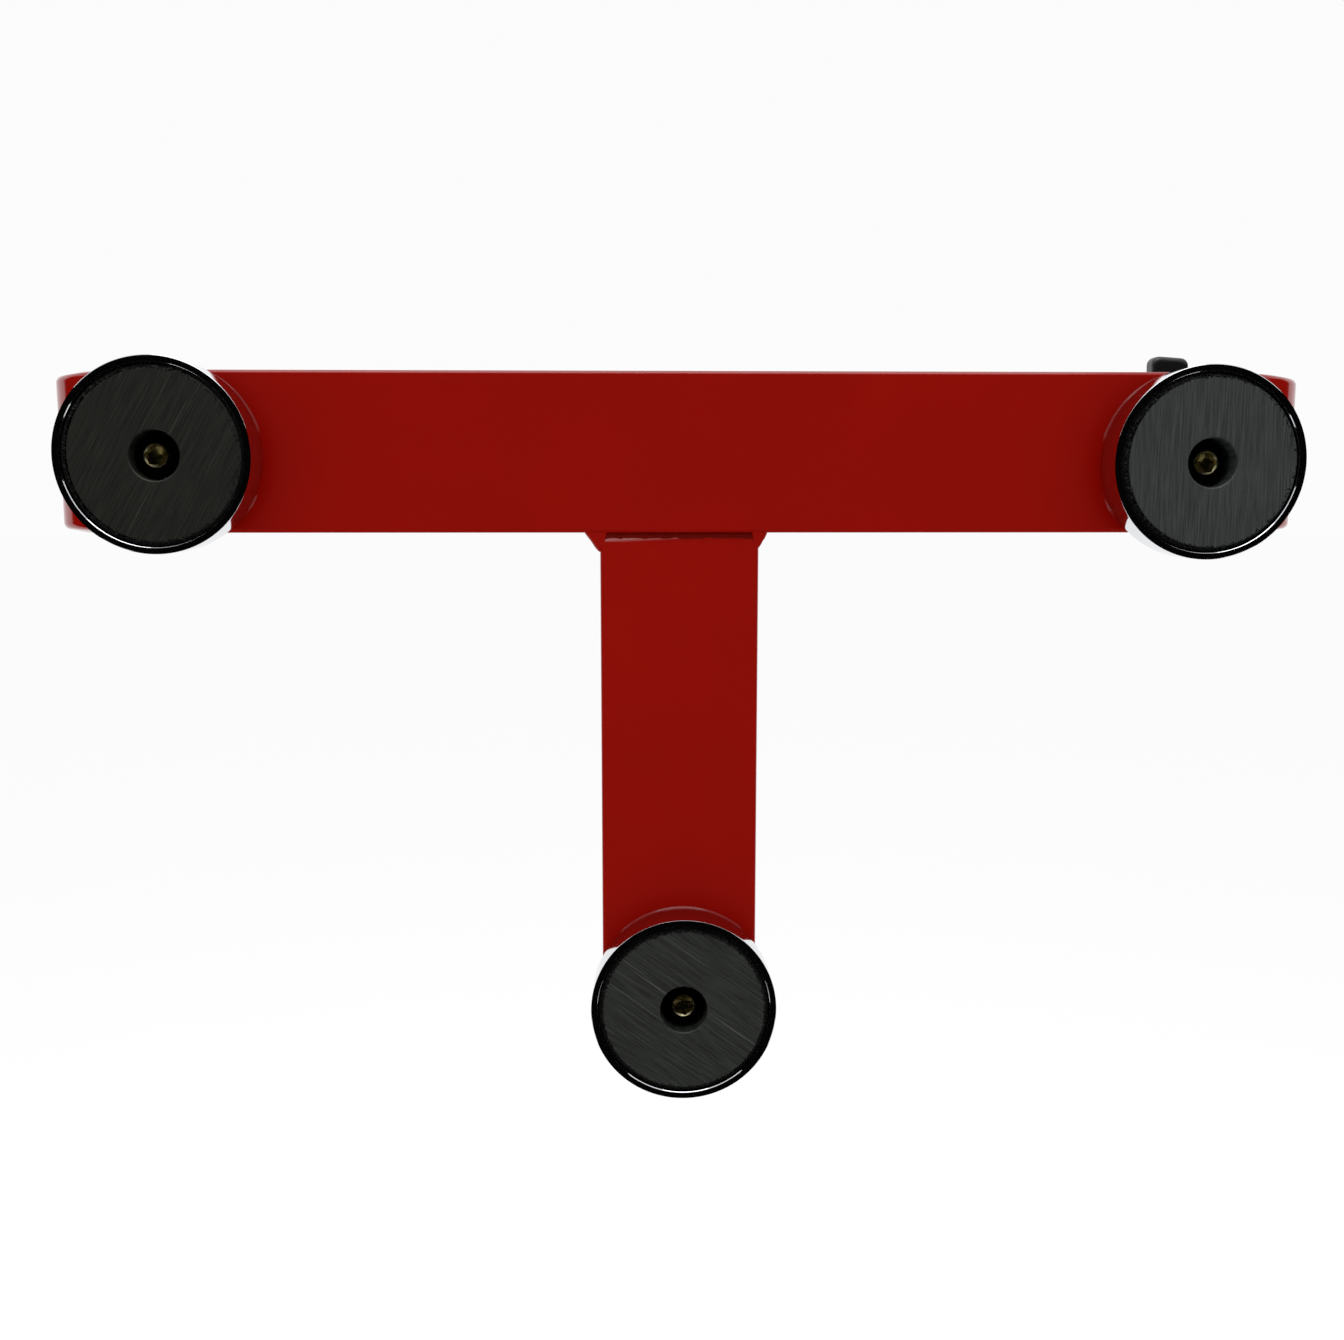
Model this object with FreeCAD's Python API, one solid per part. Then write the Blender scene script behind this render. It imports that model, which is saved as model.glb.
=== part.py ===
import FreeCAD, Part
import math
import os

# Magnetic wall bracket: a bent flat-steel crossbar with a welded stem, carried by
# three pot magnets, with a clamping lever on the right magnet's screw.
#
# Frame: the steel wall that the magnets hold to is the plane Y = 0.
# +Y points away from the wall, +X to the right, +Z up. The origin is on the
# wall, in line with the crossbar's centre.

V = FreeCAD.Vector

# ---- Driving dimensions, in millimetres -----------------------------------

# Flat bar, used for the crossbar and the stem
bar_width = 50.8
bar_thickness = 8.0
bar_edge_radius = 1.6

# Crossbar, bent back at both ends into short arms
overall_width = 410.0
bend_inner_radius = 20.0
arm_reach = 48.0
arm_corner_radius = 6.0

# Where the three magnets sit, counted from the crossbar's centre; the upper two
# keep their washers clear of the bends
washer_bend_gap = 6.5
left_magnet_drop = 1.5
right_magnet_drop = 3.4
lower_magnet_drop = 178.7
lower_magnet_side = -0.6

# Stem
stem_side = -1.7
stem_end_margin = 12.0
stem_corner_radius = 4.0
stem_bevel_height = 4.0
stem_root_land = 3.0

# Weld beads
groove_weld_recess = 1.2
groove_weld_hollow_radius = 5.0
groove_weld_hollow_depth = 0.3
left_toe_weld_side_leg = 5.4
left_toe_weld_down_leg = 6.2
right_toe_weld_side_leg = 3.4
right_toe_weld_down_leg = 5.0
toe_weld_inset = 1.0
toe_weld_belly = 0.42

# Pot magnets
cup_diameter = 60.0
cup_height = 14.0
cup_wall = 2.3
cup_base = 2.0
cup_rear_radius = 2.5
cup_rim_chamfer = 0.4
potting_gap = 1.3
head_room = 1.1
ferrite_recess = 0.1
ferrite_chamfer = 0.3
top_ferrite_offset = 0.7
potting_recess = 0.9

# Hexagon socket screws, plain washers and lock nuts, M8
screw_diameter = 8.0
screw_end_margin = 0.4
screw_end_chamfer = 1.0
head_diameter = 13.0
head_height = 8.0
head_chamfer = 0.6
socket_size = 6.0
socket_depth = 4.0
socket_cone_depth = 1.6
socket_chamfer = 0.5
socket_rim_margin = 0.1
left_socket_turn = 12.0
right_socket_turn = -5.0
lower_socket_turn = 20.0
hole_clearance = 0.25
washer_diameter = 16.0
washer_thickness = 1.6
washer_clearance = 0.2
nut_size = 13.0
nut_hex_height = 6.2
nut_crown_wall = 0.7
nut_crown_height = 1.8
nut_ring_diameter = 10.2
nut_ring_height = 1.4
nut_bevel_angle = 30.0
left_nut_turn = 8.0
lower_nut_turn = 25.0

# Clamping lever
lever_angle = 4.0
lever_length = 36.3
lever_tip_width = 13.2
lever_neck_width = 10.5
lever_tip_radius = 3.0
lever_arm_thickness = 7.5
lever_arm_rise = 2.0
lever_arm_step = 1.5
lever_edge_radius = 1.6
lever_foot_radius = 8.6
lever_waist_radius = 7.8
lever_waist_height = 10.0
lever_crown_radius = 9.4
lever_crown_overlap = 2.0
lever_crown_rounding = 1.4
lever_foot_gap = 0.3
lever_web_thickness = 1.5
lever_bore_clearance = 0.4
lever_lift = 2.5

# Threaded hub inside the lever, with its retaining screw and spring
hub_collar_radius = 6.75
hub_collar_height = 3.0
hub_wall = 1.45
hub_height = 15.0
hub_thread_clearance = 0.05
hub_thread_room = 2.1
retainer_radius = 2.5
retainer_end_gap = 0.5
retainer_head_radius = 4.3
retainer_head_height = 2.6
retainer_head_chamfer = 0.4
retainer_slot_width = 1.0
retainer_slot_depth = 1.2
retainer_clearance = 0.4
retainer_head_clearance = 0.5
retainer_cover = 0.4
retainer_turn = 30.0
spring_wire = 0.8
spring_turns = 3.0
spring_gap = 0.1

# How far a cutting tool reaches past the surface it cuts
past = 1.0

# ---- Places that follow from the dimensions --------------------------------

half_width = overall_width / 2
half_bar = bar_width / 2
front = cup_height
back = front + bar_thickness
bend_outer_radius = bend_inner_radius + bar_thickness
bend_x = half_width - bend_outer_radius
bend_y = front + bend_outer_radius
arm_tip = front + arm_reach

magnet_x = bend_x - washer_bend_gap - washer_diameter / 2
left_axis = (-magnet_x, -left_magnet_drop)
right_axis = (magnet_x, -right_magnet_drop)
lower_axis = (lower_magnet_side, -lower_magnet_drop)

stem_left = stem_side - half_bar
stem_right = stem_side + half_bar
stem_top = -half_bar
stem_end = -lower_magnet_drop - stem_end_margin

cup_floor = cup_height - cup_base
cup_bore_radius = cup_diameter / 2 - cup_wall
ferrite_radius = cup_bore_radius - potting_gap
ferrite_hole_radius = head_diameter / 2 + head_room

head_top = cup_floor - head_height
nut_seat = back + washer_thickness
nut_top = nut_seat + nut_hex_height
crown_top = nut_top + nut_crown_height
screw_end = crown_top + screw_end_margin
screw_hole_radius = screw_diameter / 2 + hole_clearance

# Share of a corner radius between the corner and the middle of its arc
corner_share = 1 - math.sqrt(0.5)


# ---- Helpers ---------------------------------------------------------------

def place(shape, axis, turn=0.0):
    """Turn a shape about Y, then move it onto a magnet axis (x, z)."""
    placed = shape.copy()
    placed.rotate(V(0, 0, 0), V(0, 1, 0), turn)
    placed.translate(V(axis[0], 0, axis[1]))
    return placed


def rod(radius, y0, y1):
    """A cylinder about the Y axis."""
    return Part.makeCylinder(radius, y1 - y0, V(0, y0, 0), V(0, 1, 0))


def block(x0, x1, y0, y1, z0, z1):
    return Part.makeBox(x1 - x0, y1 - y0, z1 - z0, V(x0, y0, z0))


def turned(points, arcs=None):
    """Revolve a closed (radius, y) outline about the Y axis.

    arcs maps the index of an edge's first point to the arc's middle point.
    """
    arcs = arcs or {}
    edges = []
    for i, point in enumerate(points):
        start = V(point[0], point[1], 0)
        after = points[(i + 1) % len(points)]
        end = V(after[0], after[1], 0)
        if i in arcs:
            middle = V(arcs[i][0], arcs[i][1], 0)
            edges.append(Part.Arc(start, middle, end).toShape())
        else:
            edges.append(Part.makeLine(start, end))
    face = Part.Face(Part.Wire(edges))
    return face.revolve(V(0, 0, 0), V(0, 1, 0), 360)


def hexagon(across_flats, y0, y1):
    """A hexagonal prism along Y."""
    corner = across_flats / math.sqrt(3)
    ring = []
    for i in range(7):
        angle = math.radians(60 * i)
        ring.append(V(corner * math.cos(angle), y0, corner * math.sin(angle)))
    face = Part.Face(Part.makePolygon(ring))
    return face.extrude(V(0, y1 - y0, 0))


def rounded_section(x, y0, y1, z0, z1, radius):
    """A rectangle with rounded corners, in the plane X = x."""
    k = radius * corner_share
    r = radius
    corners = [
        (V(x, y0 + r, z0), V(x, y1 - r, z0), V(x, y1 - k, z0 + k), V(x, y1, z0 + r)),
        (V(x, y1, z0 + r), V(x, y1, z1 - r), V(x, y1 - k, z1 - k), V(x, y1 - r, z1)),
        (V(x, y1 - r, z1), V(x, y0 + r, z1), V(x, y0 + k, z1 - k), V(x, y0, z1 - r)),
        (V(x, y0, z1 - r), V(x, y0, z0 + r), V(x, y0 + k, z0 + k), V(x, y0 + r, z0)),
    ]
    edges = []
    for start, side_end, arc_middle, arc_end in corners:
        edges.append(Part.makeLine(start, side_end))
        edges.append(Part.Arc(side_end, arc_middle, arc_end).toShape())
    return Part.Face(Part.Wire(edges))


def save(node, shape):
    """Write one node, after checking that it is a sound solid."""
    if not shape.isValid() or shape.Volume <= 0:
        raise ValueError(node + " isn't a valid solid")
    shape.exportStep("parts/" + node + ".step")


# ---- Frame -----------------------------------------------------------------

def make_crossbar():
    """Flat bar bent back at both ends, drilled for the two upper magnets."""
    section = rounded_section(-bend_x, front, back, -half_bar, half_bar, bar_edge_radius)
    bar = section.extrude(V(2 * bend_x, 0, 0))
    for side in (-1, 1):
        end = section.copy()
        if side > 0:
            end.translate(V(2 * bend_x, 0, 0))
        bend = end.revolve(V(side * bend_x, bend_y, 0), V(0, 0, 1), side * 90)
        tip = end.copy()
        tip.rotate(V(side * bend_x, bend_y, 0), V(0, 0, 1), side * 90)
        arm = tip.extrude(V(0, arm_tip - bend_y, 0))
        bar = bar.fuse(bend).fuse(arm)
    bar = bar.removeSplitter()
    for side in (-1, 1):
        for level in (-1, 1):
            bar = bar.cut(arm_corner(side, level))
    for axis in (left_axis, right_axis):
        bar = bar.cut(place(rod(screw_hole_radius, front - past, back + past), axis))
    return bar


def arm_corner(side, level):
    """What is ground off one corner of an arm's tip."""
    r = arm_corner_radius
    x0 = min(side * (half_width + past), side * (half_width - bar_thickness - past))
    x1 = x0 + bar_thickness + 2 * past
    z0 = level * (half_bar - r)
    z1 = level * (half_bar + past)
    corner = block(x0, x1, arm_tip - r, arm_tip + past, min(z0, z1), max(z0, z1))
    round_end = Part.makeCylinder(r, x1 - x0, V(x0, arm_tip - r, z0), V(1, 0, 0))
    return corner.cut(round_end)


def make_stem():
    """Flat bar, bevelled at the top for the groove welds, drilled for the lower magnet."""
    bar = block(stem_left, stem_right, front, back, stem_end, stem_top)
    tips = [e for e in bar.Edges if is_along(e, 1) and abs(e.CenterOfMass.z - stem_end) < 0.01]
    bar = bar.makeFillet(stem_corner_radius, tips)
    bevel = (bar_thickness - stem_root_land) / 2
    for face_y, inward in ((front, 1), (back, -1)):
        outline = [
            V(stem_left - past, face_y, stem_top - stem_bevel_height),
            V(stem_left - past, face_y, stem_top + past),
            V(stem_left - past, face_y + inward * bevel, stem_top + past),
            V(stem_left - past, face_y + inward * bevel, stem_top),
        ]
        wedge = Part.Face(Part.makePolygon(outline + outline[:1]))
        bar = bar.cut(wedge.extrude(V(bar_width + 2 * past, 0, 0)))
    long_edges = [e for e in bar.Edges if is_along(e, 2) and e.Length > lower_magnet_drop / 2]
    bar = bar.makeFillet(bar_edge_radius, long_edges)
    hole = rod(screw_hole_radius, front - past, back + past)
    return bar.cut(place(hole, lower_axis))


def is_along(edge, index):
    """Whether a straight edge lies along one axis (0 for X, 1 for Y, 2 for Z)."""
    if len(edge.Vertexes) < 2:
        return False
    step = edge.Vertexes[1].Point - edge.Vertexes[0].Point
    parts = [abs(step.x), abs(step.y), abs(step.z)]
    return parts[index] > 0.01 and sum(parts) - parts[index] < 1e-6


def make_groove_weld(crossbar, stem, face_y, inward):
    """Bead that fills one bevel between the crossbar and the stem, with a hollow face."""
    y_face = face_y + inward * groove_weld_recess
    y_root = face_y + inward * bar_thickness / 2
    z0 = stem_top - stem_bevel_height
    z1 = stem_top + bar_edge_radius
    fill = block(stem_left, stem_right, min(y_face, y_root), max(y_face, y_root), z0, z1)
    hollow_y = y_face - inward * (groove_weld_hollow_radius - groove_weld_hollow_depth)
    hollow = Part.makeCylinder(
        groove_weld_hollow_radius,
        bar_width + 2 * past,
        V(stem_left - past, hollow_y, stem_top - stem_bevel_height / 2),
        V(1, 0, 0),
    )
    bead = fill.cut(hollow).cut(crossbar).cut(stem)
    return max(bead.Solids, key=lambda solid: solid.Volume)


def make_toe_weld(side, side_leg, down_leg):
    """Fillet that runs round one edge of the stem, under the crossbar."""
    x = stem_left if side < 0 else stem_right
    corner = V(x, front + toe_weld_inset, stem_top)
    out = V(x + side * side_leg, corner.y, stem_top)
    down = V(x, corner.y, stem_top - down_leg)
    belly_x = x + side * side_leg * toe_weld_belly
    middle = V(belly_x, corner.y, stem_top - down_leg * toe_weld_belly)
    outline = Part.Wire([
        Part.makeLine(corner, out),
        Part.Arc(out, middle, down).toShape(),
        Part.makeLine(down, corner),
    ])
    return Part.Face(outline).extrude(V(0, bar_thickness - 2 * toe_weld_inset, 0))


# ---- Pot magnets -----------------------------------------------------------

def make_cup():
    """Deep-drawn steel pot, open towards the wall."""
    outer = cup_diameter / 2
    inner = cup_bore_radius
    hole = screw_hole_radius
    r = cup_rear_radius
    k = r * corner_share
    c = cup_rim_chamfer
    return turned(
        [
            (hole, cup_floor),
            (inner, cup_floor),
            (inner, c),
            (inner + c, 0),
            (outer - c, 0),
            (outer, c),
            (outer, cup_height - r),
            (outer - r, cup_height),
            (hole, cup_height),
        ],
        {6: (outer - k, cup_height - k)},
    )


def make_ferrite():
    """Ground ferrite ring that stands on the floor of the pot."""
    outer = ferrite_radius
    hole = ferrite_hole_radius
    c = ferrite_chamfer
    face = ferrite_recess
    return turned([
        (hole, cup_floor),
        (hole, face + c),
        (hole + c, face),
        (outer - c, face),
        (outer, face + c),
        (outer, cup_floor),
    ])


def make_potting(ferrite_offset):
    """Resin that fills the gap between the pot and the ferrite ring."""
    fill = rod(cup_bore_radius, potting_recess, cup_floor)
    core = rod(ferrite_radius, potting_recess - past, cup_floor + past)
    core.translate(V(ferrite_offset, 0, 0))
    return fill.cut(core)


# ---- Fasteners -------------------------------------------------------------

def make_screw():
    """Socket head screw, head in the pot and shank away from the wall."""
    outer = head_diameter / 2
    shank = screw_diameter / 2
    c = head_chamfer
    body = turned([
        (0, head_top),
        (outer - c, head_top),
        (outer, head_top + c),
        (outer, cup_floor),
        (shank, cup_floor),
        (shank, screw_end - screw_end_chamfer),
        (shank - screw_end_chamfer, screw_end),
        (0, screw_end),
    ])
    bottom = head_top + socket_depth
    socket = hexagon(socket_size, head_top - past, bottom)
    in_circle = socket_size / 2
    rim = socket_size / math.sqrt(3) + socket_rim_margin
    cone = Part.makeCone(in_circle, 0, socket_cone_depth, V(0, bottom, 0), V(0, 1, 0))
    mouth = Part.makeCone(rim, rim - socket_chamfer, socket_chamfer, V(0, head_top, 0), V(0, 1, 0))
    return body.cut(socket.fuse(cone).fuse(mouth))


def make_washer():
    hole = screw_diameter / 2 + washer_clearance
    outer = washer_diameter / 2
    return turned([(hole, back), (outer, back), (outer, nut_seat), (hole, nut_seat)])


def make_nut():
    """Prevailing-torque hexagon nut: the steel body."""
    corner = nut_size / math.sqrt(3)
    flat = nut_size / 2
    slope = (corner - flat) * math.tan(math.radians(nut_bevel_angle))
    prism = hexagon(nut_size, nut_seat, nut_top)
    lathe = turned([
        (0, nut_seat),
        (flat, nut_seat),
        (corner, nut_seat + slope),
        (corner, nut_top - slope),
        (flat, nut_top),
        (0, nut_top),
    ])
    body = prism.common(lathe).fuse(rod(nut_ring_diameter / 2 + nut_crown_wall, nut_seat, crown_top))
    body = body.cut(rod(screw_diameter / 2, nut_seat - past, crown_top + past))
    return body.cut(rod(nut_ring_diameter / 2, nut_top, crown_top + past)).removeSplitter()


def make_nut_ring():
    """Nylon ring that grips the thread, inside the nut's crown."""
    hole = screw_diameter / 2
    outer = nut_ring_diameter / 2
    end = nut_top + nut_ring_height
    return turned([(hole, nut_top), (outer, nut_top), (outer, end), (hole, end)])


# ---- Clamping lever, modelled about its own axis and pointing up -----------

lever_seat = nut_seat
hub_bore_radius = screw_diameter / 2 + hub_thread_clearance
hub_barrel_radius = hub_bore_radius + hub_wall
hub_top = lever_seat + hub_height
thread_end = screw_end + hub_thread_room
web_low = hub_top + lever_bore_clearance
web_high = web_low + lever_web_thickness
spring_height = spring_wire * spring_turns
retainer_seat = web_high + spring_height + lever_lift + 2 * spring_gap
retainer_top = retainer_seat + retainer_head_height
lever_top = retainer_top + retainer_cover
arm_low = lever_top - lever_arm_step - lever_arm_thickness


def make_hub():
    """Steel hub threaded M8, with the retaining screw's thread in its top."""
    bore = hub_bore_radius
    collar_top = lever_seat + hub_collar_height
    return turned([
        (bore, lever_seat),
        (hub_collar_radius, lever_seat),
        (hub_collar_radius, collar_top),
        (hub_barrel_radius, collar_top),
        (hub_barrel_radius, hub_top),
        (retainer_radius, hub_top),
        (retainer_radius, thread_end),
        (bore, thread_end),
    ])


def make_retainer():
    """Screw that holds the lever and its spring on the hub."""
    screw = turned([
        (0, thread_end + retainer_end_gap),
        (retainer_radius, thread_end + retainer_end_gap),
        (retainer_radius, retainer_seat),
        (retainer_head_radius, retainer_seat),
        (retainer_head_radius, retainer_top - retainer_head_chamfer),
        (retainer_head_radius - retainer_head_chamfer, retainer_top),
        (0, retainer_top),
    ])
    reach = retainer_head_radius + past
    half_slot = retainer_slot_width / 2
    slot_floor = retainer_top - retainer_slot_depth
    return screw.cut(block(-reach, reach, slot_floor, retainer_top + past, -half_slot, half_slot))


def make_spring():
    """Outer shape of the coil on the lever's web, at its closed height."""
    inner = retainer_radius + retainer_clearance + spring_gap
    outer = inner + spring_wire
    low = web_high + spring_gap
    high = low + spring_height
    return turned([(inner, low), (outer, low), (outer, high), (inner, high)])


def make_lever():
    """Moulded lever: a waisted hub, an arm that rises a little, and a stepped bore."""
    foot = lever_seat + hub_collar_height + lever_foot_gap
    r = lever_crown_rounding
    k = r * corner_share
    waist = lever_seat + lever_waist_height
    body = turned(
        [
            (0, foot),
            (lever_foot_radius, foot),
            (lever_crown_radius, arm_low + lever_crown_overlap),
            (lever_crown_radius, lever_top - r),
            (lever_crown_radius - r, lever_top),
            (0, lever_top),
        ],
        {1: (lever_waist_radius, waist), 3: (lever_crown_radius - k, lever_top - k)},
    )
    body = body.fuse(make_lever_arm())
    below = rod(hub_barrel_radius + lever_bore_clearance, foot - past, web_low)
    through = rod(retainer_radius + retainer_clearance, foot - past, lever_top + past)
    above = rod(retainer_head_radius + retainer_head_clearance, web_high, lever_top + lever_arm_thickness)
    return body.cut(below).cut(through).cut(above).removeSplitter()


def make_lever_arm():
    """The lever's arm: its plan outline crossed with its side outline."""
    tip = lever_length
    half_tip = lever_tip_width / 2
    half_neck = lever_neck_width / 2
    plan = Part.Face(Part.makePolygon([
        V(-half_neck, 0, 0),
        V(-half_tip, 0, tip),
        V(half_tip, 0, tip),
        V(half_neck, 0, 0),
        V(-half_neck, 0, 0),
    ]))
    plan = plan.extrude(V(0, 2 * lever_top, 0))
    low_tip = arm_low + lever_arm_rise
    side = Part.Face(Part.makePolygon([
        V(-half_tip - past, arm_low, 0),
        V(-half_tip - past, low_tip, tip + past),
        V(-half_tip - past, low_tip + lever_arm_thickness, tip + past),
        V(-half_tip - past, arm_low + lever_arm_thickness, 0),
        V(-half_tip - past, arm_low, 0),
    ]))
    side = side.extrude(V(lever_tip_width + 2 * past, 0, 0))
    arm = plan.common(side)
    corners = [e for e in arm.Edges if is_along(e, 1) and e.CenterOfMass.z > tip / 2]
    arm = arm.makeFillet(lever_tip_radius, corners)
    rims = [e for e in arm.Edges if e.CenterOfMass.z > past and not is_along(e, 1)]
    return arm.makeFillet(lever_edge_radius, rims)


# ---- Build -----------------------------------------------------------------

def build():
    os.makedirs("parts", exist_ok=True)
    crossbar = make_crossbar()
    stem = make_stem()
    save("crossbar", crossbar)
    save("stem", stem)
    save("groove_weld_front", make_groove_weld(crossbar, stem, front, 1))
    save("groove_weld_back", make_groove_weld(crossbar, stem, back, -1))
    left_toe = make_toe_weld(-1, left_toe_weld_side_leg, left_toe_weld_down_leg)
    right_toe = make_toe_weld(1, right_toe_weld_side_leg, right_toe_weld_down_leg)
    save("toe_weld_left", left_toe.cut(crossbar))
    save("toe_weld_right", right_toe.cut(crossbar))

    magnets = [
        ("left", left_axis, top_ferrite_offset, left_socket_turn),
        ("right", right_axis, top_ferrite_offset, right_socket_turn),
        ("lower", lower_axis, 0.0, lower_socket_turn),
    ]
    for name, axis, offset, socket_turn in magnets:
        ferrite_axis = (axis[0] + offset, axis[1])
        save(name + "_cup", place(make_cup(), axis))
        save(name + "_ferrite", place(make_ferrite(), ferrite_axis))
        save(name + "_potting", place(make_potting(offset), axis))
        save(name + "_screw", place(make_screw(), axis, socket_turn))

    nuts = [("left", left_axis, left_nut_turn), ("lower", lower_axis, lower_nut_turn)]
    for name, axis, nut_turn in nuts:
        save(name + "_washer", place(make_washer(), axis))
        save(name + "_nut", place(make_nut(), axis, nut_turn))
        save(name + "_nut_ring", place(make_nut_ring(), axis))

    save("lever_washer", place(make_washer(), right_axis))
    save("lever_hub", place(make_hub(), right_axis))
    save("lever_retainer", place(make_retainer(), right_axis, retainer_turn))
    save("lever_spring", place(make_spring(), right_axis))
    save("lever_handle", place(make_lever(), right_axis, lever_angle))


build()
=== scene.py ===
import bpy
import bmesh
import math
from mathutils import Matrix, Vector


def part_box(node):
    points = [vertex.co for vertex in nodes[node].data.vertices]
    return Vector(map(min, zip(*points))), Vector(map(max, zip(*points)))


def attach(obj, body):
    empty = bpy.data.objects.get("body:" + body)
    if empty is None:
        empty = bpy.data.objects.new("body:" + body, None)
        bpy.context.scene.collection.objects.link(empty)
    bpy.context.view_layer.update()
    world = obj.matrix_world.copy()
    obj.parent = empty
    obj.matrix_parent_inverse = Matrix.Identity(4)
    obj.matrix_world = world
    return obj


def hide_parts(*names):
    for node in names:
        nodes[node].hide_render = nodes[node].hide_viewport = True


# Magnetic wall bracket: a bent bar and a welded stem in red powder coat, on three
# chrome pot magnets, with a black clamping lever behind the right one.
# The wall is the plane Y = 0; +Y points away from it, and +Z is up.

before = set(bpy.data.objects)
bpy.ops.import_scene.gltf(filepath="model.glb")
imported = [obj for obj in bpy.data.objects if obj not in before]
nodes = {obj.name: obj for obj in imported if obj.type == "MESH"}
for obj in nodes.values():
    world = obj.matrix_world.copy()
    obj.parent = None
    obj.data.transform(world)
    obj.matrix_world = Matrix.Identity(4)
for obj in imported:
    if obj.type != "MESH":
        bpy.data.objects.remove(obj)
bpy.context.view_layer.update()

MM = 0.001
MAGNETS = ("left", "right", "lower")


def axis_of(node):
    """Where a turned CAD piece has its axis: (x, z) in metres."""
    low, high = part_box(node)
    return ((low.x + high.x) / 2, (low.z + high.z) / 2)


def mesh_of(piece):
    return bmesh.from_edit_mesh(piece.data)


# ---- Modelling helpers -------------------------------------------------------

def begin(name):
    """Take the primitive that was just added, settle its place in its mesh and edit it."""
    piece = bpy.context.object
    piece.name = name
    piece.data.name = name
    bpy.ops.object.transform_apply(location=True, rotation=True, scale=True)
    bpy.ops.object.mode_set(mode="EDIT")
    bpy.ops.mesh.select_all(action="SELECT")
    return piece


def pick(piece, kind, test):
    """Select the vertices, edges or faces that pass a test, and nothing else."""
    bpy.ops.mesh.select_mode(type=kind)
    bpy.ops.mesh.select_all(action="DESELECT")
    shape = mesh_of(piece)
    items = {"VERT": shape.verts, "EDGE": shape.edges, "FACE": shape.faces}[kind]
    for item in items:
        if test(item):
            item.select_set(True)
    shape.select_flush_mode()
    bmesh.update_edit_mesh(piece.data)


def clear_selection():
    bpy.ops.object.select_all(action="DESELECT")


def apply_all(piece):
    """Apply every modifier in order."""
    clear_selection()
    bpy.context.view_layer.objects.active = piece
    piece.select_set(True)
    for modifier in list(piece.modifiers):
        bpy.ops.object.modifier_apply(modifier=modifier.name)


def done(piece, body, node_names, angle=35):
    """Leave edit mode, smooth the shading, and put the piece on its body."""
    if bpy.context.mode != "OBJECT":
        bpy.ops.object.mode_set(mode="OBJECT")
    clear_selection()
    bpy.context.view_layer.objects.active = piece
    piece.select_set(True)
    bpy.ops.object.shade_smooth_by_angle(angle=math.radians(angle))
    even = piece.modifiers.new("even_shading", "WEIGHTED_NORMAL")
    even.keep_sharp = True
    apply_all(piece)
    clear_selection()
    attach(piece, body)
    if node_names:
        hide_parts(*node_names)
    return piece


def move(x=0.0, y=0.0, z=0.0):
    """Extrude what is selected, by millimetres."""
    bpy.ops.mesh.extrude_region_move(TRANSFORM_OT_translate={"value": (x * MM, y * MM, z * MM)})


def cube(name, x, y, z):
    """A cube between two places on each axis, in millimetres."""
    clear_selection()
    middle = [(pair[0] + pair[1]) / 2 * MM for pair in (x, y, z)]
    size = [(pair[1] - pair[0]) * MM for pair in (x, y, z)]
    bpy.ops.mesh.primitive_cube_add(size=1, location=middle, scale=size)
    return begin(name)


def is_sharp(edge, least=50):
    return len(edge.link_faces) == 2 and edge.calc_face_angle() > math.radians(least)


def bevel(width, steps):
    bpy.ops.mesh.bevel(offset=width * MM, segments=steps, affect="EDGES", clamp_overlap=True)


def roughen(piece, size, depth):
    """Push the surface in and out by soft noise of a size and depth in millimetres."""
    cloud = bpy.data.textures.new(piece.name + "_noise", "CLOUDS")
    cloud.noise_scale = size * MM
    cloud.noise_depth = 2
    push = piece.modifiers.new("roughen", "DISPLACE")
    push.texture = cloud
    push.texture_coords = "LOCAL"
    push.strength = depth * MM
    push.mid_level = 0.5
    apply_all(piece)


def drill(piece, axis, radius, y):
    """Cut a round hole along Y, between two places in millimetres."""
    bpy.ops.object.mode_set(mode="OBJECT")
    clear_selection()
    bpy.ops.mesh.primitive_cylinder_add(
        vertices=64, radius=radius * MM, depth=(y[1] - y[0]) * MM,
        location=(axis[0], (y[0] + y[1]) / 2 * MM, axis[1]), rotation=(math.pi / 2, 0, 0),
    )
    drill_bit = bpy.context.object
    cut = piece.modifiers.new("hole", "BOOLEAN")
    cut.operation = "DIFFERENCE"
    cut.solver = "EXACT"
    cut.object = drill_bit
    apply_all(piece)
    bpy.data.objects.remove(drill_bit)


def outwards():
    """Close doubled seams and turn every face outwards."""
    bpy.ops.mesh.select_all(action="SELECT")
    bpy.ops.mesh.remove_doubles(threshold=0.00001)
    bpy.ops.mesh.normals_make_consistent(inside=False)


def turned(name, axis, rings, segments=160, closed=True):
    """Lathe work: a circle about a Y axis, extruded and widened ring by ring.

    Each ring is (radius, y) in millimetres. A closed outline comes back to its
    first ring; an open one has its ends filled.
    """
    clear_selection()
    x, z = axis
    radius, y = rings[0]
    bpy.ops.mesh.primitive_circle_add(
        vertices=segments, radius=radius * MM, location=(x, y * MM, z), rotation=(math.pi / 2, 0, 0)
    )
    piece = begin(name)
    if not closed:
        bpy.ops.mesh.edge_face_add()
        bpy.ops.mesh.select_all(action="SELECT")
    bpy.ops.mesh.select_mode(type="EDGE")
    path = rings[1:] + (rings[:1] if closed else [])
    extrude = bpy.ops.mesh.extrude_edges_move if closed else bpy.ops.mesh.extrude_region_move
    for next_radius, next_y in path:
        extrude(TRANSFORM_OT_translate={"value": (0, (next_y - y) * MM, 0)})
        grow = next_radius / radius
        bpy.ops.transform.resize(value=(grow, 1, grow), center_override=(x, next_y * MM, z))
        radius, y = next_radius, next_y
    outwards()
    return piece


# ---- Pot magnets -------------------------------------------------------------

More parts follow.
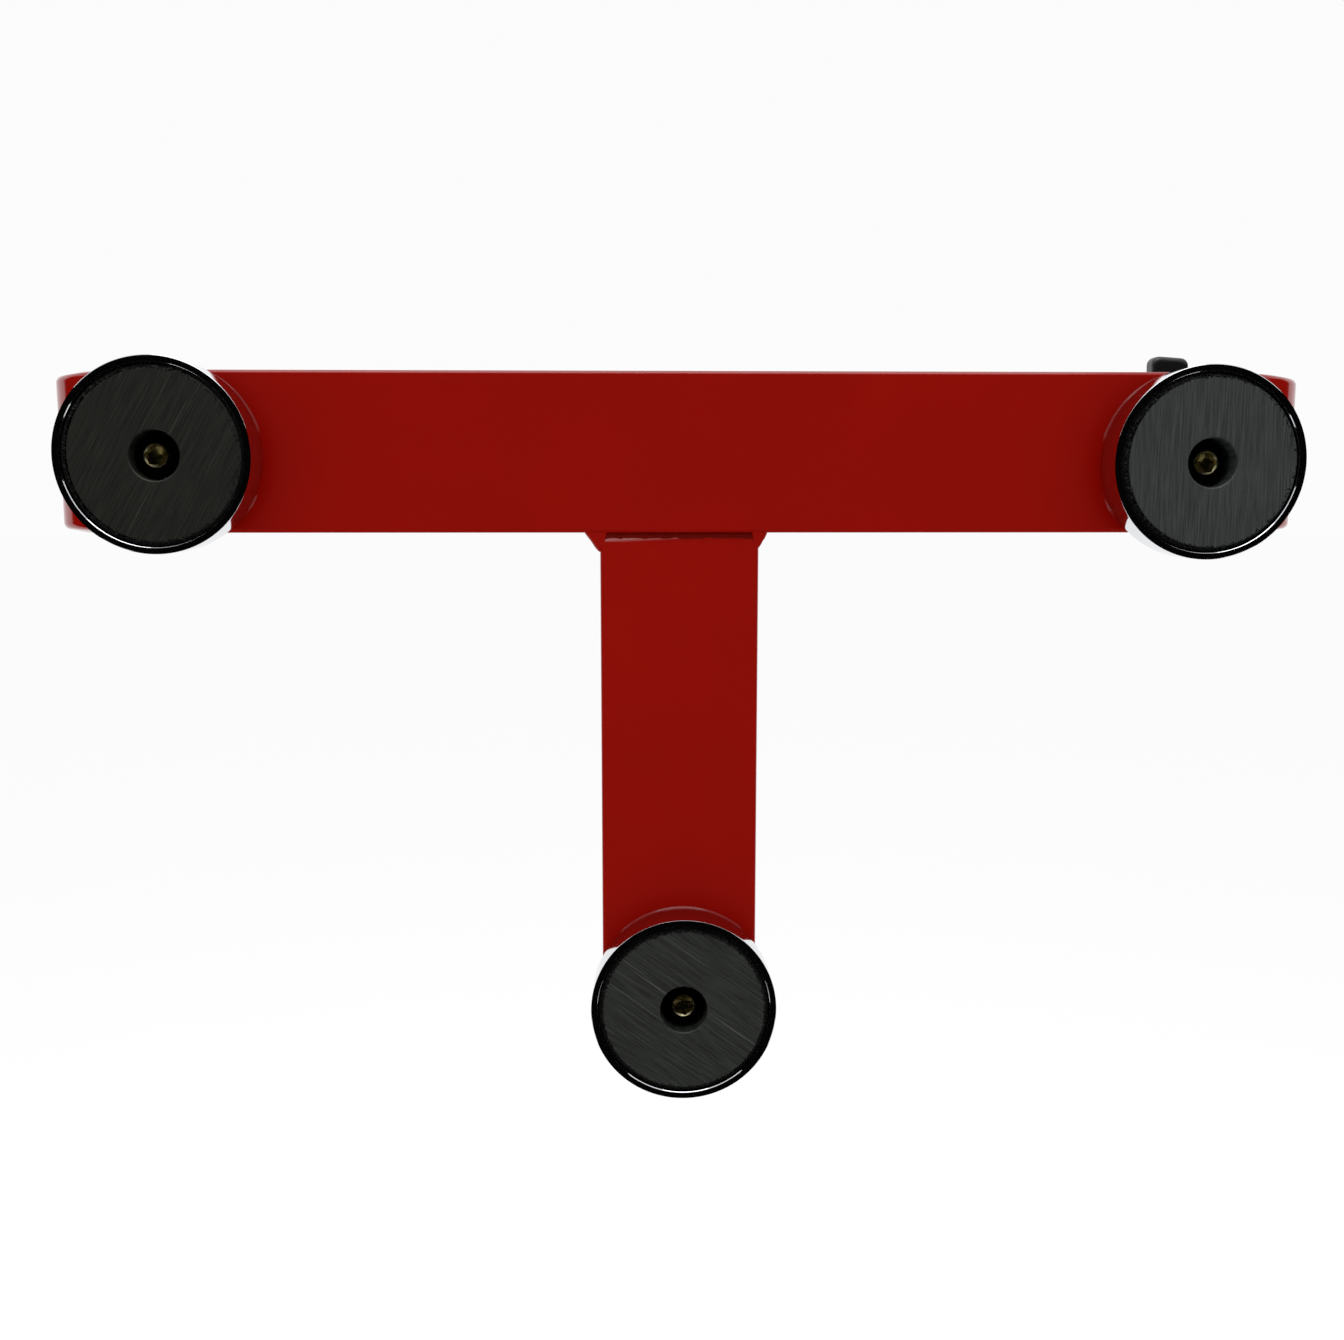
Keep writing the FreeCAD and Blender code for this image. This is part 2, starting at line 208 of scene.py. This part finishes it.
CUP_RADIUS = 30.0
CUP_INSIDE = 27.7
CUP_HEIGHT = 14.0
CUP_FLOOR = 12.0
REAR_RADIUS = 2.5
FLOOR_HOLE = 4.25
RESIN_FACE = 0.95
RESIN_NEAREST = 0.05
FERRITE_RADIUS = 26.4
FERRITE_HOLE = 7.6


def round_corner(centre_radius, centre_y, size, start, end, steps):
    """Rings along an arc, from one angle to another in degrees."""
    rings = []
    for i in range(steps + 1):
        angle = math.radians(start + (end - start) * i / steps)
        rings.append((centre_radius + size * math.cos(angle), centre_y + size * math.sin(angle)))
    return rings


def make_pot(which):
    """Deep-drawn pot: rolled rim, straight wall, rounded shoulder."""
    rings = [(FLOOR_HOLE, CUP_FLOOR), (CUP_INSIDE - 1.0, CUP_FLOOR), (CUP_INSIDE, CUP_FLOOR - 1.0)]
    rings += [(CUP_INSIDE, 1.0), (CUP_INSIDE, 0.45), (CUP_INSIDE + 0.12, 0.2), (CUP_INSIDE + 0.35, 0.0)]
    rings += [(CUP_RADIUS - 0.35, 0.0), (CUP_RADIUS - 0.15, 0.06), (CUP_RADIUS - 0.04, 0.16)]
    rings += [(CUP_RADIUS, 0.3), (CUP_RADIUS, 1.0), (CUP_RADIUS, CUP_HEIGHT - REAR_RADIUS - 1.0)]
    rings += round_corner(CUP_RADIUS - REAR_RADIUS, CUP_HEIGHT - REAR_RADIUS, REAR_RADIUS, 0, 90, 8)
    rings += [(FLOOR_HOLE, CUP_HEIGHT)]
    piece = turned(which + "_pot", axis_of(which + "_cup"), rings)
    return done(piece, "root", [which + "_cup"], 30)


def make_ferrite_ring(which):
    """Sintered ring, ground on its face, with a broken edge and a rounded bore."""
    inside, outside, face = FERRITE_HOLE, FERRITE_RADIUS, 0.1
    rings = [(inside, CUP_FLOOR), (inside, face + 0.8), (inside + 0.2, face + 0.3), (inside + 0.7, face)]
    rings += [(outside - 0.6, face), (outside - 0.15, face + 0.2), (outside, face + 0.7)]
    rings += [(outside, CUP_FLOOR)]
    piece = turned(which + "_ferrite_ring", axis_of(which + "_ferrite"), rings)
    return done(piece, "root", [which + "_ferrite"], 40)


def make_resin_ring(which, seed):
    """Resin poured round the ferrite: a low meniscus with a ragged inner edge."""
    x, z = axis_of(which + "_ferrite")
    rings = [(FERRITE_RADIUS, CUP_FLOOR), (FERRITE_RADIUS, 0.9), (FERRITE_RADIUS - 0.45, 0.12)]
    rings += [(FERRITE_RADIUS - 0.1, 0.09), (FERRITE_RADIUS + 0.25, 0.5), (FERRITE_RADIUS + 0.55, RESIN_FACE)]
    rings += [(CUP_INSIDE - 0.3, RESIN_FACE), (CUP_INSIDE - 0.1, 0.75), (CUP_INSIDE, CUP_FLOOR)]
    piece = turned(which + "_resin_ring", axis_of(which + "_cup"), rings, segments=540)
    pick(piece, "VERT", lambda v: v.co.y < 0.7 * MM)
    bpy.ops.transform.vertex_random(offset=0.7 * MM, uniform=1.0, normal=0.0, seed=seed)
    pick(piece, "VERT", lambda v: v.co.y < 1.3 * MM)
    bpy.ops.mesh.vertices_smooth(factor=0.3)
    pick(piece, "VERT", lambda v: v.co.y < RESIN_NEAREST * MM)
    bpy.ops.transform.resize(value=(1, 0, 1), center_override=(x, RESIN_NEAREST * MM, z))
    return done(piece, "root", [which + "_potting"], 60)


pots = [make_pot(which) for which in MAGNETS]
ferrite_rings = [make_ferrite_ring(which) for which in MAGNETS]
resin_rings = [make_resin_ring(which, seed) for seed, which in enumerate(MAGNETS)]


# ---- Painted bars ------------------------------------------------------------

BAR_FRONT = 14.0
BAR_BACK = 22.0
BAR_HALF = 25.4
EDGE = 1.6
FLAT_END = 177.0
BEND_Y = 42.0
BEND_OUTSIDE = 28.0
BEND_INSIDE = 20.0
ARM_TIP = 62.0
BEND_STEPS = 24
HOLE = 4.25
BEVEL = 4.0
ROOT_SHARE = 0.375
ARM_CORNER = 6.0
FOOT_CORNER = 4.0
BAR_MIDDLE = 18
OUTSIDE_DRAW = 0.055
INSIDE_SWELL = 0.022


def make_crossbar():
    """Flat bar, cold bent at both ends: each bend draws in outside and swells inside."""
    across, through, high = (-FLAT_END, FLAT_END), (BAR_FRONT, BAR_BACK), (-BAR_HALF, BAR_HALF)
    piece = cube("painted_crossbar", across, through, high)
    for side in (-1, 1):
        pick(piece, "FACE", lambda f: (
            f.normal.x * side > 0.9 and f.calc_center_median().x * side > 176 * MM))
        bpy.ops.mesh.spin(
            steps=BEND_STEPS, angle=-side * math.pi / 2,
            center=(side * FLAT_END * MM, BEND_Y * MM, 0), axis=(0, 0, 1),
        )
        pick(piece, "FACE", lambda f: (
            f.normal.y > 0.9 and f.calc_center_median().x * side > 190 * MM))
        move(y=ARM_TIP - BEND_Y)
        for step in range(1, BEND_STEPS + 1):
            angle = math.pi / 2 * step / BEND_STEPS
            draw = math.sin(math.pi * step / (BEND_STEPS + 3))
            outside = (BEND_OUTSIDE, 1 - OUTSIDE_DRAW * draw)
            inside = (BEND_INSIDE, 1 + INSIDE_SWELL * draw)
            for radius, grow in (outside, inside):
                x = side * (FLAT_END + radius * math.sin(angle)) * MM
                y = (BEND_Y - radius * math.cos(angle)) * MM
                pick(piece, "VERT", lambda v: math.hypot(v.co.x - x, v.co.y - y) < 0.3 * MM)
                bpy.ops.transform.resize(value=(1, 1, grow), center_override=(x, y, 0))
    pick(piece, "EDGE", lambda e: is_sharp(e) and all(
        v.co.y > 61.9 * MM and abs(v.co.z) > 25.3 * MM for v in e.verts))
    bevel(ARM_CORNER, 8)
    pick(piece, "EDGE", lambda e: is_sharp(e, 40))
    bevel(EDGE, 5)
    for which in ("left", "right"):
        drill(piece, axis_of(which + "_cup"), HOLE, (BAR_FRONT - 1, BAR_BACK + 1))
    return done(piece, "root", ["crossbar"])


def make_stem():
    """Flat bar with weld bevels at the top and rounded corners at the foot."""
    low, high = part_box("stem")
    x = (low.x / MM, high.x / MM)
    z = (low.z / MM, high.z / MM)
    piece = cube("painted_stem", x, (BAR_FRONT, BAR_BACK), (z[0], z[1] - BEVEL))
    pick(piece, "FACE", lambda f: f.normal.z > 0.9)
    move(z=BEVEL)
    bpy.ops.transform.resize(value=(1, ROOT_SHARE, 1), center_override=(0, BAR_MIDDLE * MM, 0))
    pick(piece, "EDGE", lambda e: (
        is_sharp(e)
        and all(abs(v.co.z - low.z) < 0.1 * MM for v in e.verts)
        and abs(e.verts[0].co.x - e.verts[1].co.x) < 0.1 * MM
    ))
    bevel(FOOT_CORNER, 8)
    pick(piece, "EDGE", lambda e: is_sharp(e) and all(v.co.z < high.z - (BEVEL - 0.1) * MM for v in e.verts))
    bevel(EDGE, 5)
    drill(piece, axis_of("lower_cup"), HOLE, (BAR_FRONT - 1, BAR_BACK + 1))
    return done(piece, "root", ["stem"])


def make_groove_bead(name, y, node):
    """Weld run laid along the bevel, a little proud in ripples and sunk below the bar's face."""
    low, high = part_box("stem")
    clear_selection()
    length = high.x - low.x - 1.2 * MM
    bpy.ops.mesh.primitive_cylinder_add(
        vertices=20, radius=2.1 * MM, depth=length,
        location=((low.x + high.x) / 2, y * MM, high.z - 1.3 * MM), rotation=(0, math.pi / 2, 0),
    )
    piece = begin(name)
    pick(piece, "EDGE", lambda e: abs(e.verts[0].co.x - e.verts[1].co.x) > length / 2)
    bpy.ops.mesh.subdivide(number_cuts=90)
    bpy.ops.object.mode_set(mode="OBJECT")
    roughen(piece, 2.2, 0.8)
    return done(piece, "root", [node], 60)


def make_toe_bead(name, side, node):
    """Weld that wraps the stem's edge under the crossbar."""
    low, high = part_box("stem")
    bead_low, bead_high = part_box(node)
    edge = (low.x if side < 0 else high.x) / MM
    top = high.z / MM
    foot = bead_low.z / MM
    out, inn = (bead_low.x if side < 0 else bead_high.x) / MM, edge - side * 2.4
    piece = cube(name, (min(out, inn), max(out, inn)), (14.6, 21.4), (foot, top + 0.8))
    pick(piece, "VERT", lambda v: v.co.z < (foot + 0.6) * MM)
    bpy.ops.transform.resize(value=(0.22, 1, 1), center_override=((edge - side * 0.9) * MM, 18 * MM, 0))
    pick(piece, "EDGE", lambda e: is_sharp(e, 20))
    bevel(1.0, 3)
    bpy.ops.mesh.select_all(action="SELECT")
    bpy.ops.mesh.subdivide(number_cuts=4)
    bpy.ops.mesh.vertices_smooth(factor=0.5, repeat=2)
    bpy.ops.object.mode_set(mode="OBJECT")
    roughen(piece, 1.8, 0.8)
    return done(piece, "root", [node], 60)


painted = [
    make_crossbar(),
    make_stem(),
    make_groove_bead("front_groove_bead", 17.4, "groove_weld_front"),
    make_groove_bead("back_groove_bead", 18.6, "groove_weld_back"),
    make_toe_bead("left_toe_bead", -1, "toe_weld_left"),
    make_toe_bead("right_toe_bead", 1, "toe_weld_right"),
]


# ---- Clamping lever ----------------------------------------------------------

LEVER_TURN = -4.0
LEVER_BORE = 5.9
LEVER_NECK_HALF = 5.25
LEVER_TIP_CORNER = 3.0
LEVER_EDGE = 1.8
LEVER_STEPS = ((12.0, 1.09, 0.7), (8.3, 1.08, 0.6), (4.0, 1.068, 0.3))


def make_lever():
    """Moulded lever: hollow waisted hub and an arm, run together with soft fillets."""
    x, z = axis_of("lever_hub")
    rings = [(LEVER_BORE, 26.9), (8.6, 26.9), (8.1, 29.5), (7.8, 32.5), (8.2, 36.0), (9.4, 41.5)]
    rings += [(9.4, 47.0), (9.0, 48.1), (8.0, 48.6), (4.8, 48.6), (4.8, 40.5), (2.9, 40.5)]
    rings += [(2.9, 39.0), (LEVER_BORE, 39.0)]
    hub = turned("moulded_lever", (x, z), rings, segments=96)
    bpy.ops.object.mode_set(mode="OBJECT")
    neck = (x / MM - LEVER_NECK_HALF, x / MM + LEVER_NECK_HALF)
    arm = cube("lever_arm_blank", neck, (39.6, 47.1), (z / MM + 5.5, z / MM + 12))
    for reach, widen, lift in LEVER_STEPS:
        pick(arm, "FACE", lambda f: f.normal.z > 0.8)
        move(y=lift, z=reach)
        bpy.ops.transform.resize(value=(widen, 1, 1), center_override=(x, 0.04, 0))
    pick(arm, "EDGE", lambda e: (
        is_sharp(e, 60)
        and all(v.co.z > z + 35 * MM for v in e.verts)
        and abs(e.verts[0].co.y - e.verts[1].co.y) > 5 * MM
    ))
    bevel(LEVER_TIP_CORNER, 6)
    pick(arm, "EDGE", lambda e: is_sharp(e, 40))
    bevel(LEVER_EDGE, 4)
    bpy.ops.mesh.select_all(action="SELECT")
    bpy.ops.transform.rotate(value=math.radians(LEVER_TURN), orient_axis="Y", center_override=(x, 0, z))
    bpy.ops.object.mode_set(mode="OBJECT")
    join = hub.modifiers.new("join_arm", "BOOLEAN")
    join.operation = "UNION"
    join.solver = "EXACT"
    join.object = arm
    apply_all(hub)
    bpy.data.objects.remove(arm)
    return hub


lever = make_lever()
shell = lever.modifiers.new("one_skin", "REMESH")
shell.mode = "VOXEL"
shell.voxel_size = 0.36 * MM
soften = lever.modifiers.new("soften", "SMOOTH")
soften.factor = 0.5
soften.iterations = 5
apply_all(lever)
done(lever, "lever_arm", ["lever_handle"], 60)


def make_coil_spring():
    """Closed coil of round wire under the retaining screw's head."""
    x, z = axis_of("lever_spring")
    low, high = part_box("lever_spring")
    wire_radius = 0.4 * MM
    reach = high.x - x - wire_radius
    clear_selection()
    bpy.ops.mesh.primitive_circle_add(vertices=16, radius=wire_radius, location=(reach, 0, 0))
    piece = begin("coil_spring")
    bpy.ops.object.mode_set(mode="OBJECT")
    coil = piece.modifiers.new("coil", "SCREW")
    coil.axis = "Y"
    coil.screw_offset = 2 * wire_radius
    coil.iterations = 2
    coil.steps = 48
    coil.render_steps = 48
    apply_all(piece)
    bpy.ops.object.mode_set(mode="EDIT")
    outwards()
    bpy.ops.mesh.select_mode(type="EDGE")
    bpy.ops.mesh.select_all(action="DESELECT")
    bpy.ops.mesh.select_non_manifold()
    bpy.ops.mesh.edge_face_add()
    tops = [v.co.y for v in mesh_of(piece).verts]
    bpy.ops.mesh.select_all(action="SELECT")
    bpy.ops.transform.translate(value=(x, (low.y + high.y - min(tops) - max(tops)) / 2, z))
    return done(piece, "lever_catch", ["lever_spring"], 40)


spring = make_coil_spring()


# ---- Colours and materials ---------------------------------------------------

def linear(code):
    """An sRGB hex colour as linear RGBA."""
    values = [int(code[i:i + 2], 16) / 255 for i in (1, 3, 5)]
    return [v / 12.92 if v <= 0.04045 else ((v + 0.055) / 1.055) ** 2.4 for v in values] + [1.0]


def add(tree, kind, inputs=None, **settings):
    """Add a node, set its properties, and set or link its inputs."""
    made = tree.nodes.new(kind)
    for name, value in settings.items():
        setattr(made, name, value)
    for name, value in (inputs or {}).items():
        if isinstance(value, bpy.types.NodeSocket):
            tree.links.new(value, made.inputs[name])
        else:
            made.inputs[name].default_value = value
    return made


def new_material(name):
    """An empty node material: (material, tree, shader)."""
    made = bpy.data.materials.new(name)
    made.use_nodes = True
    tree = made.node_tree
    tree.nodes.clear()
    shader = add(tree, "ShaderNodeBsdfPrincipled")
    add(tree, "ShaderNodeOutputMaterial", {"Surface": shader.outputs["BSDF"]})
    return made, tree, shader


def red_powder_coat(name, dark, light):
    # Polyester powder, baked glossy: a faint orange peel about 3 mm across, and dust caught in it. The darker
    # copy of this coat, used on the groove beads, is painted shade for the recess under the crossbar.
    made, tree, shader = new_material(name)
    place = add(tree, "ShaderNodeTexCoord").outputs["Object"]
    peel = add(tree, "ShaderNodeTexNoise", {"Vector": place, "Scale": 330.0, "Detail": 2.0})
    cloud = add(tree, "ShaderNodeTexNoise", {"Vector": place, "Scale": 28.0, "Detail": 3.0})
    tone = add(tree, "ShaderNodeMix", {
        "Factor": cloud.outputs["Fac"], 6: linear(dark), 7: linear(light),
    }, data_type="RGBA")
    flat = add(tree, "ShaderNodeMapping", {"Vector": place, "Scale": (30.0, 0.0, 30.0)})
    dust = add(tree, "ShaderNodeTexVoronoi", {"Vector": flat.outputs["Vector"], "Scale": 1.0})
    speck = add(tree, "ShaderNodeMath", {0: dust.outputs["Distance"], 1: 0.012}, operation="LESS_THAN")
    coat = add(tree, "ShaderNodeMix", {
        "Factor": speck.outputs[0], 6: tone.outputs[2], 7: linear("#D98A7C"),
    }, data_type="RGBA")
    bump = add(tree, "ShaderNodeBump", {"Height": peel.outputs["Fac"], "Distance": 0.00002, "Strength": 0.5})
    tree.links.new(coat.outputs[2], shader.inputs["Base Color"])
    tree.links.new(bump.outputs["Normal"], shader.inputs["Normal"])
    shader.inputs["Roughness"].default_value = 0.12
    shader.inputs["IOR"].default_value = 1.5
    return made


def chrome_plate():
    # Bright chrome over nickel on drawn steel: mirror bright, faintly wavy from the drawing.
    made, tree, shader = new_material("chrome_plate_on_drawn_steel")
    place = add(tree, "ShaderNodeTexCoord").outputs["Object"]
    wave = add(tree, "ShaderNodeTexNoise", {"Vector": place, "Scale": 160.0, "Detail": 2.0})
    bump = add(tree, "ShaderNodeBump", {"Height": wave.outputs["Fac"], "Distance": 0.00002, "Strength": 0.4})
    tree.links.new(bump.outputs["Normal"], shader.inputs["Normal"])
    shader.inputs["Base Color"].default_value = linear("#DADCE0")
    shader.inputs["Metallic"].default_value = 1.0
    shader.inputs["Roughness"].default_value = 0.07
    return made


def ground_ferrite(which, angle, light, dark, scratch):
    # Hard ferrite, ground flat: dark grey ceramic with straight grinding marks. The tones passed in differ
    # from magnet to magnet as painted light.
    made, tree, shader = new_material(which + "_ground_ferrite_painted_light")
    x, z = axis_of(which + "_ferrite")
    place = add(tree, "ShaderNodeTexCoord").outputs["Object"]
    centre = add(tree, "ShaderNodeMapping", {
        "Vector": place, "Location": (-x, 0.0, -z),
    })
    turn = add(tree, "ShaderNodeMapping", {
        "Vector": centre.outputs["Vector"], "Rotation": (0.0, math.radians(angle), 0.0),
    })
    fine = add(tree, "ShaderNodeMapping", {"Vector": turn.outputs["Vector"], "Scale": (3800.0, 0.0, 90.0)})
    marks = add(tree, "ShaderNodeTexNoise", {"Vector": fine.outputs["Vector"], "Scale": 1.0, "Detail": 3.0})
    coarse = add(tree, "ShaderNodeMapping", {"Vector": turn.outputs["Vector"], "Scale": (2100.0, 0.0, 55.0)})
    scores = add(tree, "ShaderNodeTexNoise", {
        "Vector": coarse.outputs["Vector"], "Scale": 1.0, "Detail": 2.0,
    })
    both = add(tree, "ShaderNodeMath", {0: marks.outputs["Fac"], 1: scores.outputs["Fac"]}, operation="ADD")
    spread = add(tree, "ShaderNodeMapRange", {
        "Value": both.outputs[0], "From Min": 0.8, "From Max": 1.2,
    })
    tone = add(tree, "ShaderNodeMix", {
        "Factor": spread.outputs[0], 6: linear(dark), 7: linear(light),
    }, data_type="RGBA")
    bump = add(tree, "ShaderNodeBump", {"Height": spread.outputs[0], "Distance": 0.00001, "Strength": 0.6})
    long_one = add(tree, "ShaderNodeMapping", {
        "Vector": turn.outputs["Vector"], "Scale": (1400.0, 0.0, 22.0),
    })
    line = add(tree, "ShaderNodeTexNoise", {
        "Vector": long_one.outputs["Vector"], "Scale": 1.0, "Detail": 1.0,
    })
    scored = add(tree, "ShaderNodeMapRange", {
        "Value": line.outputs["Fac"], "From Min": 0.68, "From Max": 0.78, "To Max": scratch,
    })
    worn = add(tree, "ShaderNodeMix", {
        "Factor": scored.outputs[0], 6: tone.outputs[2], 7: linear("#6A6B62"),
    }, data_type="RGBA")
    tree.links.new(worn.outputs[2], shader.inputs["Base Color"])
    tree.links.new(bump.outputs["Normal"], shader.inputs["Normal"])
    shader.inputs["Roughness"].default_value = 0.5
    shader.inputs["IOR"].default_value = 1.6
    return made


def finish_piece(piece, made):
    piece.data.materials.clear()
    piece.data.materials.append(made)


red = red_powder_coat("red_powder_coat", "#830701", "#8E0A02")
# Darker red for the groove beads: painted shade of the recess between the crossbar and the stem.
groove_shade_red = red_powder_coat("red_powder_coat_painted_groove_shade", "#3E0401", "#700A02")
chrome = chrome_plate()
# The groove beads take the darker coat, as painted shade in the groove.
for piece in painted:
    finish_piece(piece, groove_shade_red if piece.name.endswith("groove_bead") else red)
for piece in pots:
    finish_piece(piece, chrome)
# One ferrite in all three pots, each with its own base tones as painted light: lightest on the right ring,
# darker on the lower one, darkest on the left.
finish_piece(ferrite_rings[0], ground_ferrite("left", -30, "#24261C", "#16170F", 0.15))
finish_piece(ferrite_rings[1], ground_ferrite("right", 0, "#3A403D", "#262B29", 0.1))
finish_piece(ferrite_rings[2], ground_ferrite("lower", 54, "#31352F", "#1D201C", 0.45))


def potting_resin():
    # Black epoxy, cast in place and never ground: dull and grainy.
    made, tree, shader = new_material("cast_black_epoxy")
    place = add(tree, "ShaderNodeTexCoord").outputs["Object"]
    grain = add(tree, "ShaderNodeTexNoise", {"Vector": place, "Scale": 2200.0, "Detail": 2.0})
    bump = add(tree, "ShaderNodeBump", {"Height": grain.outputs["Fac"], "Distance": 0.0001, "Strength": 0.7})
    tree.links.new(bump.outputs["Normal"], shader.inputs["Normal"])
    shader.inputs["Base Color"].default_value = linear("#0B0B0A")
    shader.inputs["Roughness"].default_value = 0.65
    return made


def plain_metal(name, colour, roughness, grain_size, depth):
    # Bright zinc or bare steel: a fine mottle from the plating bath.
    made, tree, shader = new_material(name)
    place = add(tree, "ShaderNodeTexCoord").outputs["Object"]
    grain = add(tree, "ShaderNodeTexNoise", {"Vector": place, "Scale": 1000.0 / grain_size, "Detail": 3.0})
    bump = add(tree, "ShaderNodeBump", {
        "Height": grain.outputs["Fac"], "Distance": depth * MM, "Strength": 0.5,
    })
    tree.links.new(bump.outputs["Normal"], shader.inputs["Normal"])
    shader.inputs["Base Color"].default_value = linear(colour)
    shader.inputs["Metallic"].default_value = 1.0
    shader.inputs["Roughness"].default_value = roughness
    return made


def moulded_nylon(name, colour, roughness, grain_size):
    # Glass-filled nylon from a spark-eroded mould: a fine even grain and a soft sheen.
    made, tree, shader = new_material(name)
    place = add(tree, "ShaderNodeTexCoord").outputs["Object"]
    grain = add(tree, "ShaderNodeTexNoise", {"Vector": place, "Scale": 1000.0 / grain_size, "Detail": 2.0})
    bump = add(tree, "ShaderNodeBump", {"Height": grain.outputs["Fac"], "Distance": 0.00004, "Strength": 0.5})
    tree.links.new(bump.outputs["Normal"], shader.inputs["Normal"])
    shader.inputs["Base Color"].default_value = linear(colour)
    shader.inputs["Roughness"].default_value = roughness
    shader.inputs["IOR"].default_value = 1.53
    return made


SOCKET_RADIUS = 3.85


def socket_screw(which):
    # Plated steel screw: the head is painted near black as shade in the pot's deep recess, and the socket has
    # the plating's own warm colour.
    made, tree, shader = new_material(which + "_black_oxide_screw")
    x, z = axis_of(which + "_screw")
    place = add(tree, "ShaderNodeTexCoord").outputs["Object"]
    centre = add(tree, "ShaderNodeMapping", {
        "Vector": place, "Location": (-x, 0.0, -z), "Scale": (1.0, 0.0, 1.0),
    })
    reach = add(tree, "ShaderNodeVectorMath", {0: centre.outputs["Vector"]}, operation="LENGTH")
    near = add(tree, "ShaderNodeMath", {
        0: reach.outputs["Value"], 1: SOCKET_RADIUS * MM,
    }, operation="LESS_THAN")
    depth = add(tree, "ShaderNodeSeparateXYZ", {0: place})
    front = add(tree, "ShaderNodeMath", {0: depth.outputs["Y"], 1: CUP_FLOOR * MM}, operation="LESS_THAN")
    inside = add(tree, "ShaderNodeMath", {0: near.outputs[0], 1: front.outputs[0]}, operation="MULTIPLY")
    # Near-black head outside the socket is painted shade; inside the socket is the plating's own colour.
    tone = add(tree, "ShaderNodeMix", {
        "Factor": inside.outputs[0], 6: linear("#1A1A18"), 7: linear("#E8DDB0"),
    }, data_type="RGBA")
    gloss = add(tree, "ShaderNodeMix", {"Factor": inside.outputs[0], 2: 0.5, 3: 0.32})
    tree.links.new(tone.outputs[2], shader.inputs["Base Color"])
    tree.links.new(gloss.outputs[0], shader.inputs["Roughness"])
    shader.inputs["Metallic"].default_value = 1.0
    return made


resin = potting_resin()
zinc = plain_metal("bright_zinc_plate", "#B9BEC4", 0.3, 0.8, 0.01)
wire = plain_metal("drawn_spring_wire", "#9C9FA3", 0.3, 0.5, 0.01)
natural = moulded_nylon("natural_nylon", "#E4E3DA", 0.45, 0.6)
black = moulded_nylon("black_glass_filled_nylon", "#101114", 0.36, 0.35)

for piece in resin_rings:
    finish_piece(piece, resin)
finish_piece(lever, black)
finish_piece(spring, wire)
for name, node in nodes.items():
    if name.endswith("_screw"):
        finish_piece(node, socket_screw(name[:-len("_screw")]))
    elif name.endswith("_nut_ring"):
        finish_piece(node, natural)
    elif name == "lever_spring":
        finish_piece(node, wire)
    elif name == "lever_handle":
        finish_piece(node, black)
    elif name.endswith("_cup"):
        finish_piece(node, chrome)
    elif name.endswith("_potting"):
        finish_piece(node, resin)
    elif name.endswith("_ferrite"):
        finish_piece(node, ferrite_rings[0].data.materials[0])
    elif name.endswith(("_washer", "_nut", "_hub", "_retainer")):
        finish_piece(node, zinc)
    else:
        finish_piece(node, red)


# ---- Studio ------------------------------------------------------------------

def plain(name, colour, roughness=0.9):
    made, tree, shader = new_material(name)
    shader.inputs["Base Color"].default_value = linear(colour)
    shader.inputs["Roughness"].default_value = roughness
    shader.inputs["Specular IOR Level"].default_value = 0.0
    return made


def stage_plane(name, size, location, rotation, made):
    clear_selection()
    bpy.ops.mesh.primitive_plane_add(size=size, location=location, rotation=rotation)
    plane = bpy.context.object
    plane.name = name
    plane.data.materials.append(made)
    return plane


WHITE = (1.0, 1.0, 1.0, 1.0)
FLOOR_DROP = 0.9
FLOOR_GLOW = 0.19

# The bracket hangs free, well above a pale floor that glows a little, to match the room.
pale = plain("pale_floor", "#E7E7E7")
glow = pale.node_tree.nodes["Principled BSDF"].inputs
glow["Emission Color"].default_value = WHITE
glow["Emission Strength"].default_value = FLOOR_GLOW
stage_plane("floor", 60.0, (0, 0, -FLOOR_DROP), (0, 0, 0), pale)

# Dark cards keep the white room out of the glossy faces. Only reflections see them.
soot = plain("black_card", "#050505")
for name, size, place, turn in (
    ("front_card", 2.2, (0.0, -0.75, -0.1), (math.pi / 2, 0, 0)),
    ("left_card", 1.2, (-1.0, -0.3, -0.1), (0, math.pi / 2, 0)),
    ("right_card", 1.2, (1.0, -0.3, -0.1), (0, math.pi / 2, 0)),
    ("low_card", 1.4, (0.0, -0.1, -0.8), (0, 0, 0)),
):
    card = stage_plane(name, size, place, turn, soot)
    card.visible_camera = False
    card.visible_diffuse = False
    card.visible_shadow = False

lamp_data = bpy.data.lights.new("softbox", "AREA")
lamp_data.shape = "SQUARE"
lamp_data.size = 1.0
lamp_data.energy = 6.0
lamp = bpy.data.objects.new("softbox", lamp_data)
bpy.context.scene.collection.objects.link(lamp)
lamp.location = (0.0, -0.1, 1.1)
lamp.visible_camera = False

world = bpy.data.worlds.new("pale_room")
bpy.context.scene.world = world
world.cycles.sampling_method = "NONE"
world.use_nodes = True
world.node_tree.nodes["Background"].inputs["Color"].default_value = WHITE
world.node_tree.nodes["Background"].inputs["Strength"].default_value = 0.97

camera_data = bpy.data.cameras.new("camera")
camera_data.lens = 35.786
camera_data.sensor_width = 36.0
camera_data.clip_start = 0.01
camera_data.clip_end = 100.0
camera = bpy.data.objects.new("camera", camera_data)
bpy.context.scene.collection.objects.link(camera)
camera.location = (-0.01510, -0.41398, -0.01347)
ahead = Vector((0.02545, 0.99122, -0.12976)).normalized()
up = Vector((0.00297, 0.12973, 0.99155))
right = ahead.cross(up).normalized()
up = right.cross(ahead)
camera.rotation_mode = "QUATERNION"
turn = Matrix((right, up, -ahead)).transposed()
camera.rotation_quaternion = turn.to_quaternion()
bpy.context.scene.camera = camera
bpy.context.scene.view_settings.view_transform = "Standard"
